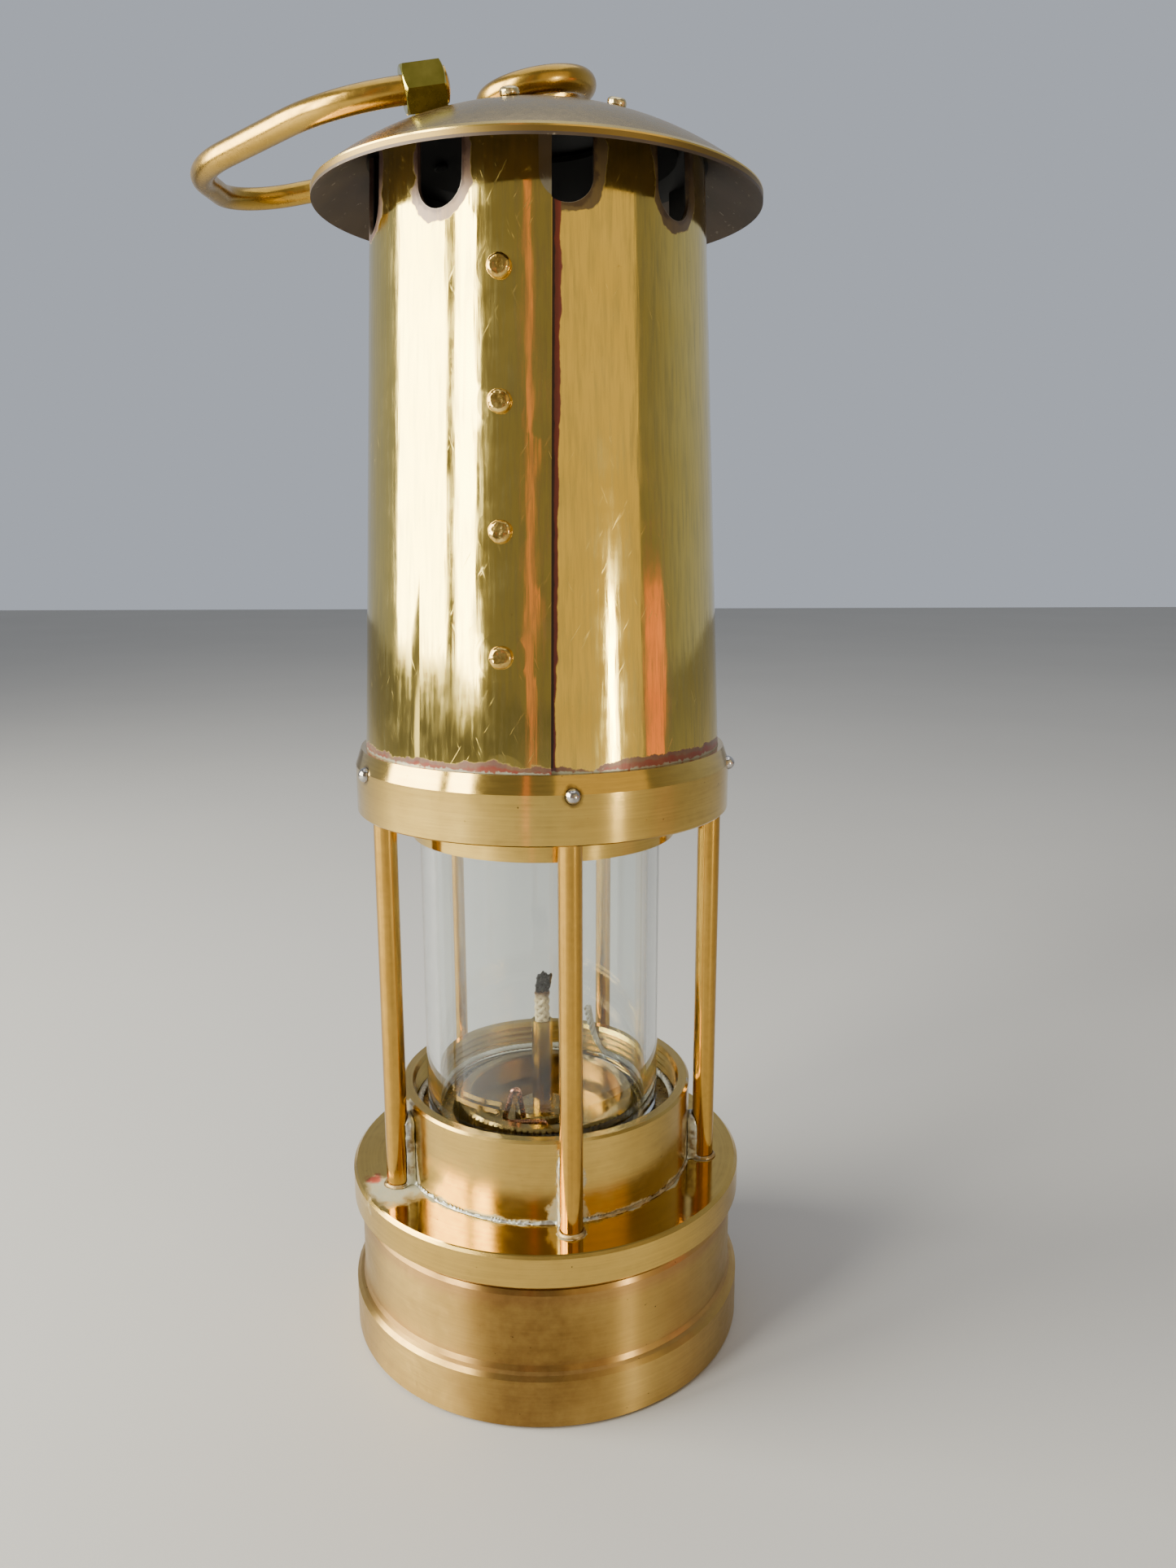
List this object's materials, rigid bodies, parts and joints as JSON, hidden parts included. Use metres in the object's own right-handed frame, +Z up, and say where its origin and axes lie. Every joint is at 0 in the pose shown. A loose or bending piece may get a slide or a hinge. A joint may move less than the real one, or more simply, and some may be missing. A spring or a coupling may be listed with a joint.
{
  "type": "miner's flame safety lamp",
  "caption": "Brass flame safety lamp: round oil vessel, glass cylinder between pillars, tapered riveted bonnet with vents under a domed hood, and a bent rod handle.",
  "frame": {"origin": "centre of the foot's lower face", "axes": "+Z up along the lamp's axis, -Y to the front"},
  "size_m": [0.1151, 0.0883, 0.263],
  "materials": {
    "satin_brass": "satin, turned",
    "platform_brass": "polished, turned",
    "collar_brass": "satin, worn",
    "turned_brass": "brushed along the turning",
    "pillar_brass": "polished rod",
    "rod_brass": "satin rod",
    "bonnet_brass": "polished sheet, heat-stained edges",
    "hood_brass": "tarnished sheet",
    "inner_brass": "dull, tarnished",
    "steel": "polished pins",
    "copper": "copper wire",
    "gauze": "woven wire, sooty",
    "solder": "dull solder with flux stains",
    "glass": "clear tube",
    "packing": "white string",
    "wick_cotton": "plaited cotton, charred tip",
    "wadding": "cotton wadding",
    "leather_seal": "oiled leather"
  },
  "bodies": {
    "oil_vessel": {"vessel_shell": "satin_brass", "vessel_bottom": "satin_brass", "burner_cup": "inner_brass", "pricker_tube": "inner_brass", "oil_wadding": "wadding"},
    "seal": {"vessel_seal": "leather_seal"},
    "lamp_frame": {"platform_ring": "platform_brass", "collar": "collar_brass", "solder_fillets": "solder", "gallery_ring": "turned_brass", "bonnet_pins": "steel", "glass_cap": "turned_brass", "glass": "glass", "glass_nut": "inner_brass", "lower_gasket": "leather_seal", "upper_gasket": "packing", "packing_cord": "packing", "inner_gauze": "gauze", "outer_gauze": "gauze", "gauze_ring": "inner_brass", "bonnet": "bonnet_brass", "seam_rivets": "bonnet_brass", "hood": "hood_brass", "hood_carrier": "inner_brass", "hood_rivets": "hood_brass", "handle_sleeve": "rod_brass", "pillar_1": "pillar_brass", "pillar_2": "pillar_brass", "pillar_3": "pillar_brass", "pillar_4": "pillar_brass", "pillar_5": "pillar_brass"},
    "handle": {"handle_hook": "rod_brass"},
    "plug_washer": {"plug_washer": "leather_seal"},
    "burner_plug": {"burner_plug": "inner_brass", "wick_tube": "inner_brass"},
    "wick": {"wick": "wick_cotton"},
    "pricker_collar": {"pricker_collar": "inner_brass"},
    "pricker": {"pricker": "copper"}
  },
  "joints": [
    {"name": "vessel_screw_travel", "type": "slide", "parent": "oil_vessel", "child": "seal", "axis": [0, 0, 1], "range_m": [0, 0.0121]},
    {"name": "frame_unscrews", "type": "hinge", "parent": "seal", "child": "lamp_frame", "pos_m": [0, 0, 0.031], "axis": [0, 0, 1], "range_deg": [0, 2880]},
    {"name": "handle_hinge", "type": "hinge", "parent": "lamp_frame", "child": "handle", "pos_m": [-0.0202, -0.0192, 0.25324], "axis": [0.9654, 0.1702, 0.1977], "range_deg": [0, 150]},
    {"name": "plug_screw_travel", "type": "slide", "parent": "oil_vessel", "child": "plug_washer", "axis": [0, 0, 1], "range_m": [0, 0.0051]},
    {"name": "plug_unscrews", "type": "hinge", "parent": "plug_washer", "child": "burner_plug", "pos_m": [-0.0008, 0, 0.047], "axis": [0, 0, 1], "range_deg": [0, 1440]},
    {"name": "wick_height", "type": "slide", "parent": "burner_plug", "child": "wick", "axis": [0, 0, 1], "range_m": [-0.004, 0.003]},
    {"name": "pricker_lift", "type": "slide", "parent": "oil_vessel", "child": "pricker_collar", "axis": [0, 0, 1], "range_m": [0, 0.0045]},
    {"name": "pricker_turn", "type": "hinge", "parent": "pricker_collar", "child": "pricker", "pos_m": [0, -0.0102, 0.05], "axis": [0, 0, 1], "range_deg": [-62, 15]}
  ],
  "couplings": [
    {"joint": "vessel_screw_travel", "follows": "frame_unscrews", "m_per_rad": 0.00023873},
    {"joint": "plug_screw_travel", "follows": "plug_unscrews", "m_per_rad": 0.00019894}
  ]
}
